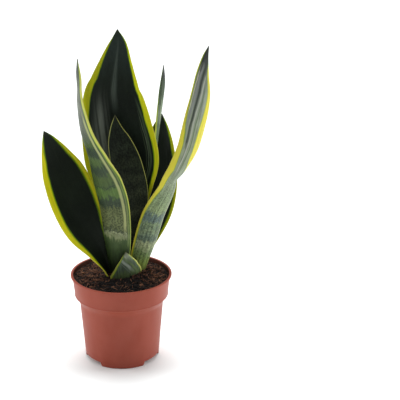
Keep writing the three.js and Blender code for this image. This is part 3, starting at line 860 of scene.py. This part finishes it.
def drill(piece):
    """Cuts the drain holes through the pot's floor."""
    cutter = bmesh.new()
    for k in range(DRAIN_COUNT):
        turn = math.radians(k * 360 / DRAIN_COUNT)
        middle = POT_FLOOR - FLOOR_THICKNESS / 2
        at = Vector((DRAIN_RING * math.cos(turn), DRAIN_RING * math.sin(turn), middle)) * MM
        bmesh.ops.create_cone(
            cutter, cap_ends=True, segments=48, radius1=DRAIN_RADIUS * MM, radius2=DRAIN_RADIUS * MM,
            depth=3 * FLOOR_THICKNESS * MM, matrix=Matrix.Translation(at),
        )
    mesh = bpy.data.meshes.new("drains")
    cutter.to_mesh(mesh)
    cutter.free()
    tool = bpy.data.objects.new("drains", mesh)
    bpy.context.scene.collection.objects.link(tool)
    cut = piece.modifiers.new("drains", "BOOLEAN")
    cut.operation = "DIFFERENCE"
    cut.solver = "EXACT"
    cut.object = tool
    bpy.context.view_layer.update()
    done = bpy.data.meshes.new_from_object(piece.evaluated_get(bpy.context.evaluated_depsgraph_get()))
    piece.modifiers.clear()
    piece.data = done
    bpy.data.objects.remove(tool)


def inner_wall_darkening(s, x, y, z, cloud):
    """How much the collar's inner wall is turned dark brown, from just under the soil up to the rim, from 0
    to DARK_WALL_STRENGTH.
    """
    below = s.minus(POT_HEIGHT * MM, z)
    wall = s.minus((COLLAR_TOP_RADIUS - WALL) * MM, s.times(below, COLLAR_TAPER / COLLAR_HEIGHT))
    from_wall = s.minus(s.hypotenuse(x, y), wall)
    inside = s.between(from_wall, DARK_WALL_EDGE * MM, 0.0)
    above = s.between(z, *[(SOIL_LEVEL - depth) * MM for depth in DARK_WALL_DEPTHS])
    patchy = s.between(cloud, 0.3, 0.6, 0.75 * DARK_WALL_STRENGTH, DARK_WALL_STRENGTH)
    return s.times(s.times(inside, above), patchy)


def pot_material():
    """Matte terracotta-coloured plastic, with the faint flow marks and dust of a moulded nursery pot."""
    s = Shader("terracotta_plastic")
    x, y, z = s.split(s.place())
    bearing = s.math("ARCTAN2", y, x)
    ring = s.join(s.times(bearing, 6.0), s.times(z, 25.0), 0.3)
    flow = s.noise(s.stretch(ring, (0.35, 1.0, 1.0)), 3.0)
    cloud = s.noise(s.place(), 3.0, 0.55, 38.0)
    dust = s.noise(s.place(), 4.0, 0.65, 900.0)
    colour = s.mix(s.between(flow, 0.3, 0.7), srgb("8f402f"), srgb("954636"))
    colour = s.mix(s.between(cloud, 0.35, 0.75, 0.0, 0.25), colour, srgb("985244"))
    colour = s.mix(s.between(dust, 0.62, 0.85, 0.0, 0.2), colour, srgb("a97565"))
    # The collar's inner wall, from just under the soil to the rim, turned dark brown.
    colour = s.mix(inner_wall_darkening(s, x, y, z, cloud), colour, srgb("3b2820"))
    grain = s.noise(s.place(), 3.0, 0.6, 1600.0)
    normal = s.bump(grain, 0.00012, 0.3)
    normal = s.bump(s.noise(s.place(), 2.0, 0.5, 60.0), 0.0008, 0.12, normal)
    s.set(Base_Color=colour, Roughness=s.between(cloud, 0.3, 0.7, 0.40, 0.52), Normal=normal)
    s.set(Specular_IOR_Level=0.2)
    return s.material


def make_pot():
    piece = bpy.data.objects.new("nursery_pot", pot_mesh())
    bpy.context.scene.collection.objects.link(piece)
    drill(piece)
    piece.data.materials.clear()
    piece.data.materials.append(pot_material())
    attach(piece, "root")
    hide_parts("pot")


# ---- Soil ----
SOIL_RINGS = 96
SOIL_SEGMENTS = 336
SOIL_CROWN = 1.2
SOIL_RING_SPREAD = 0.92
SOIL_CLEARANCE = 0.5
SOIL_FOOT_CLEARANCE = 2
SOIL_SIDE_HEIGHTS = (99, 90, COLLAR_LOW + 1, SHOULDER_LOW + 1, 50, 28, FLOOR_TOP + 2, FLOOR_TOP)
SOIL_SEED = 11
DARK_PATCH_MIDDLE = (4, -34)
DARK_PATCH_REACH = (38, 30)
DARK_PATCH_STRENGTH = 0.85


def fractal(x, y, scale, octaves, seed):
    """Sum of octaves of noise, about -1 to 1."""
    total, size = 0.0, 1.0
    for octave in range(octaves):
        total += noise.noise(Vector((x * scale, y * scale, seed + octave * 5.3))) * size
        scale, size = scale * 2.1, size * 0.55
    return total


def soil_height(x, y):
    """Height of the lumpy surface of the soil, in millimetres, in the pot's frame."""
    reach = math.hypot(x, y)
    smooth = SOIL_LEVEL - SOIL_CROWN * (reach / SOIL_RADIUS) ** 2 - 0.3
    lumps = 1.1 * fractal(x, y, 0.07, 3, SOIL_SEED) + 0.9 * fractal(x, y, 0.22, 4, SOIL_SEED + 50)
    clods = abs(fractal(x, y, 0.45, 3, SOIL_SEED + 90)) * 0.8
    edge = -0.9 * smoothstep(reach, SOIL_RADIUS - 4, SOIL_RADIUS)
    return smooth + lumps + clods + float(edge)


def inner_radius(z):
    """Radius of the pot's inner wall at a height."""
    outline = ((POT_FLOOR, body_radius(POT_FLOOR)), (SHOULDER_LOW, SHOULDER_LOW_RADIUS),
               (COLLAR_LOW, COLLAR_LOW_RADIUS), (POT_HEIGHT, COLLAR_TOP_RADIUS))
    return float(np.interp(z, *zip(*outline))) - WALL


def soil_mesh():
    rings = []
    for i in range(1, SOIL_RINGS + 1):
        reach = SOIL_RADIUS * (i / SOIL_RINGS) ** SOIL_RING_SPREAD
        ring = []
        for k in range(SOIL_SEGMENTS):
            turn = 2 * math.pi * (k + 0.5 * (i % 2)) / SOIL_SEGMENTS
            x, y = reach * math.cos(turn), reach * math.sin(turn)
            ring.append((x, y, soil_height(x, y)))
        rings.append(ring)
    for z in SOIL_SIDE_HEIGHTS:
        reach = inner_radius(z) - (SOIL_CLEARANCE if z > FLOOR_TOP else SOIL_FOOT_CLEARANCE)
        turns = [2 * math.pi * (k + 0.5 * (SOIL_RINGS % 2)) / SOIL_SEGMENTS for k in range(SOIL_SEGMENTS)]
        rings.append([(reach * math.cos(t), reach * math.sin(t), z) for t in turns])
    points = [p for ring in rings for p in ring] + [(0, 0, soil_height(0, 0)), (0, 0, FLOOR_TOP)]
    faces = []
    for i in range(len(rings) - 1):
        for k in range(SOIL_SEGMENTS):
            a, b = i * SOIL_SEGMENTS + k, i * SOIL_SEGMENTS + (k + 1) % SOIL_SEGMENTS
            faces.append((a, a + SOIL_SEGMENTS, b + SOIL_SEGMENTS, b))
    top, bottom = len(points) - 2, len(points) - 1
    last = (len(rings) - 1) * SOIL_SEGMENTS
    for k in range(SOIL_SEGMENTS):
        n = (k + 1) % SOIL_SEGMENTS
        faces += [(top, k, n), (bottom, last + n, last + k)]
    return smooth_mesh("potting_mix", points, faces)


def dark_patch_share(s, place):
    """How much of the darker patch at the leaves' foot, towards the front, shows at a place, from 0 to
    DARK_PATCH_STRENGTH.
    """
    x, y, _ = s.split(place)
    aside = s.math("DIVIDE", s.minus(x, DARK_PATCH_MIDDLE[0] * MM), DARK_PATCH_REACH[0] * MM)
    along = s.math("DIVIDE", s.minus(y, DARK_PATCH_MIDDLE[1] * MM), DARK_PATCH_REACH[1] * MM)
    away = s.hypotenuse(aside, along)
    away = s.plus(away, s.times(s.minus(s.noise(place, 3.0, 0.6, 90.0), 0.5), 1.2))
    return s.between(away, 1.15, 0.6, 0.0, DARK_PATCH_STRENGTH)


def soil_material(name="potting_mix", lift=1.0):
    """Dark moist peat with brown fibre and a few reddish specks."""
    s = Shader(name)
    place = s.place()
    lumps = s.noise(place, 4.0, 0.65, 260.0)
    fine = s.noise(place, 4.0, 0.7, 1300.0)
    patch = s.noise(place, 3.0, 0.55, 42.0)
    colour = s.ramp(s.times(lumps, lift), [
        (0.36, srgb("070606")), (0.49, srgb("120e0d")), (0.56, srgb("291c18")), (0.63, srgb("54372b")),
        (0.75, srgb("845843")),
    ])
    colour = s.mix(s.between(patch, 0.5, 0.72, 0.0, 0.3), colour, srgb("46302a"))
    colour = s.mix(s.between(fine, 0.6, 0.74), colour, srgb("7a523c"))
    colour = s.mix(s.between(fine, 0.44, 0.34), colour, srgb("080707"))
    # A darker patch towards the front of the soil.
    colour = s.mix(dark_patch_share(s, place), colour, srgb("080707"))
    normal = s.bump(lumps, 0.0012, 0.7)
    normal = s.bump(fine, 0.0004, 0.8, normal)
    s.set(Base_Color=colour, Roughness=s.between(fine, 0.35, 0.65, 0.75, 0.98), Normal=normal)
    s.set(Specular_IOR_Level=0.2)
    return s.material


def make_soil():
    piece = bpy.data.objects.new("potting_mix", soil_mesh())
    bpy.context.scene.collection.objects.link(piece)
    piece.data.materials.append(soil_material())
    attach(piece, "root")
    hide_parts("soil")


# ---- Crumbs, fibres and bark on the soil ----
CRUMB_COUNT = 900
FIBRE_COUNT = 420


def lump(divisions, size, rough, seed, turn):
    """Points and faces of an uneven closed lump round the origin."""
    shape = bmesh.new()
    bmesh.ops.create_icosphere(shape, subdivisions=divisions, radius=1.0)
    points = []
    for vertex in shape.verts:
        direction = vertex.co.normalized()
        swell = 1 + rough * noise.noise(direction * 1.4 + Vector((seed, 0, 0)))
        swell += rough * 0.5 * noise.noise(direction * 3.5 + Vector((0, seed, 0)))
        points.append(turn @ Vector(direction[i] * size[i] * swell for i in range(3)))
    faces = [tuple(v.index for v in face.verts) for face in shape.faces]
    shape.free()
    return points, faces


def spot_on_soil(random, widest):
    """A random place on the soil, as (x, y), spread evenly over its area."""
    reach = widest * math.sqrt(random.random())
    turn = random.random() * 2 * math.pi
    return reach * math.cos(turn), reach * math.sin(turn)


def join_pieces(name, parts):
    """One object out of (points in millimetres, faces) parts."""
    points, faces = [], []
    for some, sides in parts:
        start = len(points)
        points += [tuple(p) for p in some]
        faces += [tuple(start + i for i in side) for side in sides]
    piece = bpy.data.objects.new(name, smooth_mesh(name, points, faces))
    bpy.context.scene.collection.objects.link(piece)
    return piece


def make_crumbs():
    random = np.random.default_rng(5)
    parts = []
    for i in range(CRUMB_COUNT):
        x, y = spot_on_soil(random, SOIL_RADIUS - 2.5)
        base = 0.45 + 1.25 * random.random() ** 2.2
        size = base * random.uniform(0.65, 1.35, 3)
        turn = Matrix.Rotation(random.random() * 2 * math.pi, 3, "Z")
        turn = turn @ Matrix.Rotation(random.random() - 0.5, 3, "X")
        points, faces = lump(2, size, 0.7, i * 1.7, turn)
        at = Vector((x, y, soil_height(x, y) + 0.35 * base))
        parts.append(([p + at for p in points], faces))
    piece = join_pieces("soil_crumbs", parts)
    piece.data.materials.append(soil_material("soil_crumb", 1.1))
    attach(piece, "root")


def fibre(random, x, y):
    """A bent strand that lies on the soil from (x, y)."""
    length = random.uniform(4, 15)
    thick = random.uniform(0.16, 0.46)
    heading = random.random() * 2 * math.pi
    bend = random.uniform(-0.22, 0.22)
    rise = random.uniform(0, 1.6)
    steps, sides = 9, 5
    middles = []
    for i in range(steps + 1):
        share = i / steps
        middles.append(Vector((x, y, soil_height(x, y) + 0.25 + rise * math.sin(math.pi * share))))
        heading += bend + random.uniform(-0.2, 0.2)
        x += math.cos(heading) * length / steps
        y += math.sin(heading) * length / steps
    points, faces = [], []
    for i, middle in enumerate(middles):
        ahead = (middles[min(i + 1, steps)] - middles[max(i - 1, 0)]).normalized()
        side = ahead.cross(UP).normalized()
        top = side.cross(ahead)
        width = thick * (1 - 0.75 * (2 * i / steps - 1) ** 4)
        for k in range(sides):
            turn = 2 * math.pi * k / sides
            points.append(middle + side * (math.cos(turn) * width) + top * (math.sin(turn) * width * 0.6))
    for i in range(steps):
        for k in range(sides):
            a, b = i * sides + k, i * sides + (k + 1) % sides
            faces.append((a, a + sides, b + sides, b))
    faces += [tuple(range(sides)), tuple(steps * sides + k for k in reversed(range(sides)))]
    return points, faces


def fibre_material():
    """Dry coir: tan to reddish brown, lighter on some strands."""
    s = Shader("coir_fibre")
    tone = s.noise(s.place(), 2.0, 0.6, 140.0)
    fine = s.noise(s.place(), 3.0, 0.6, 2200.0)
    colour = s.ramp(tone, [
        (0.3, srgb("3a251c")), (0.45, srgb("63402e")), (0.58, srgb("865b42")), (0.72, srgb("ab8161")),
    ])
    colour = s.mix(s.between(fine, 0.45, 0.7, 0.0, 0.4), colour, srgb("5a3a2a"))
    s.set(Base_Color=colour, Normal=s.bump(fine, 0.0002, 0.6))
    s.set(Roughness=s.between(fine, 0.3, 0.7, 0.7, 0.9))
    s.set(Specular_IOR_Level=0.25)
    return s.material


def make_fibres():
    random = np.random.default_rng(23)
    parts = []
    while len(parts) < FIBRE_COUNT:
        x, y = spot_on_soil(random, SOIL_RADIUS - 3)
        made = fibre(random, x, y)
        # Fewer fibres lie in the darker patch.
        away = math.hypot((x - DARK_PATCH_MIDDLE[0]) / DARK_PATCH_REACH[0], (y - DARK_PATCH_MIDDLE[1]) / DARK_PATCH_REACH[1])
        if away < 1 and random.random() < 0.75:
            continue
        if max(math.hypot(p.x, p.y) for p in made[0]) < SOIL_RADIUS - 0.8:
            parts.append(made)
    piece = join_pieces("coir_fibres", parts)
    piece.data.materials.append(fibre_material())
    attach(piece, "root")


def bark_material():
    """Pine bark: layered grain along each chip, from dark brown to tan."""
    s = Shader("bark")
    grain = s.noise(s.stretch(s.place(), (1.0, 1.0, 6.0)), 4.0, 0.6, 330.0)
    tone = s.noise(s.place(), 2.0, 0.5, 60.0)
    colour = s.ramp(grain, [
        (0.32, srgb("2f1e17")), (0.48, srgb("5a3b2b")), (0.6, srgb("7d553c")), (0.74, srgb("9c7353")),
    ])
    colour = s.mix(s.between(tone, 0.4, 0.65, 0.0, 0.5), colour, srgb("6b4532"))
    s.set(Base_Color=colour, Normal=s.bump(grain, 0.0005, 0.9))
    s.set(Roughness=s.between(grain, 0.3, 0.7, 0.7, 0.92))
    s.set(Specular_IOR_Level=0.25)
    return s.material


def make_chips():
    material = bark_material()
    names = sorted(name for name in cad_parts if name.startswith("bark_chip"))
    for i, name in enumerate(names):
        low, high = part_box(name)
        middle, half = (low + high) / 2 / MM, (high - low) / 2 / MM
        points, faces = lump(4, (1, 1, 1), 0.55, i * 3.1 + 0.7, Matrix.Identity(3))
        flaky = [p * (1 + 0.10 * noise.noise(Vector((p.x * 2, p.y * 7, p.z * 9 + i)))) for p in points]
        widest = [max(abs(p[k]) for p in flaky) for k in range(3)]
        fitted = [Vector(p[k] * half[k] / widest[k] for k in range(3)) + middle for p in flaky]
        piece = join_pieces("bark_piece_" + name[-2:], [(fitted, faces)])
        piece.data.materials.append(material)
        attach(piece, "root")
        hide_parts(name)


def finish_rhizome():
    """The CAD rhizome keeps its shape, hidden in the soil, and gets a fleshy orange-brown skin."""
    s = Shader("rhizome_skin")
    rings = s.noise(s.stretch(s.place(), (1.0, 1.0, 4.0)), 3.0, 0.6, 220.0)
    fine = s.noise(s.place(), 3.0, 0.6, 1200.0)
    colour = s.ramp(rings, [(0.3, srgb("8a5a34")), (0.55, srgb("b07a45")), (0.75, srgb("c99a66"))])
    s.set(Base_Color=colour, Normal=s.bump(rings, 0.0008, 0.6))
    s.set(Roughness=s.between(fine, 0.3, 0.7, 0.55, 0.75))
    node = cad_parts["rhizome"]
    node.data.materials.clear()
    node.data.materials.append(s.material)


# ---- Floor, light and camera ----
def make_floor():
    bpy.ops.mesh.primitive_plane_add(size=60)
    floor = bpy.context.object
    floor.name = "floor"
    s = Shader("floor_white")
    # A faint cool tint, painted to offset the reddish light that the pot bounces onto the floor.
    s.set(Base_Color=srgb("f8fcfc"), Roughness=0.9)
    s.set(Specular_IOR_Level=0.0)
    floor.data.materials.append(s.material)


def add_light(name, kind, place, energy, **settings):
    """A lamp at `place` in metres that looks at the middle of the plant."""
    light = bpy.data.lights.new(name, kind)
    light.energy = energy
    for key, value in settings.items():
        setattr(light, key, value)
    lamp = bpy.data.objects.new(name, light)
    lamp.location = place
    lamp.rotation_euler = (Vector((0, 0, 0.18)) - Vector(place)).to_track_quat("-Z", "Y").to_euler()
    bpy.context.scene.collection.objects.link(lamp)


def make_light():
    world = bpy.data.worlds.new("studio")
    world.use_nodes = True
    background = world.node_tree.nodes["Background"]
    background.inputs["Color"].default_value = (1, 1, 1, 1)
    background.inputs["Strength"].default_value = 0.42
    bpy.context.scene.world = world
    add_light("key", "SUN", (0, 0.6, 2.0), 2.7, angle=math.radians(42))
    add_light("left_box", "AREA", (-1.4, 0.25, 0.55), 14, shape="RECTANGLE", size=0.8, size_y=1.3)
    add_light("right_box", "AREA", (1.4, 0.25, 0.55), 14, shape="RECTANGLE", size=0.8, size_y=1.3)
    bpy.context.scene.view_settings.view_transform = "Standard"


CAMERA_PLACE = (0, -2.2, 1.068)
CAMERA_PAN = 2.48
CAMERA_PITCH = 21.51
LENS = 178.56


def make_camera():
    data = bpy.data.cameras.new("camera")
    data.sensor_width = 36
    data.lens = LENS
    camera = bpy.data.objects.new("camera", data)
    camera.location = CAMERA_PLACE
    camera.rotation_euler = (math.radians(90 - CAMERA_PITCH), 0, math.radians(-CAMERA_PAN))
    bpy.context.scene.collection.objects.link(camera)
    bpy.context.scene.camera = camera


make_camera()
make_light()
make_floor()
make_pot()
make_soil()
make_crumbs()
make_fibres()
make_chips()
finish_rhizome()
for index, (leaf_name, leaf_look) in enumerate(LEAVES.items()):
    make_leaf(leaf_name, leaf_look, 3.7 * index + 1.3)
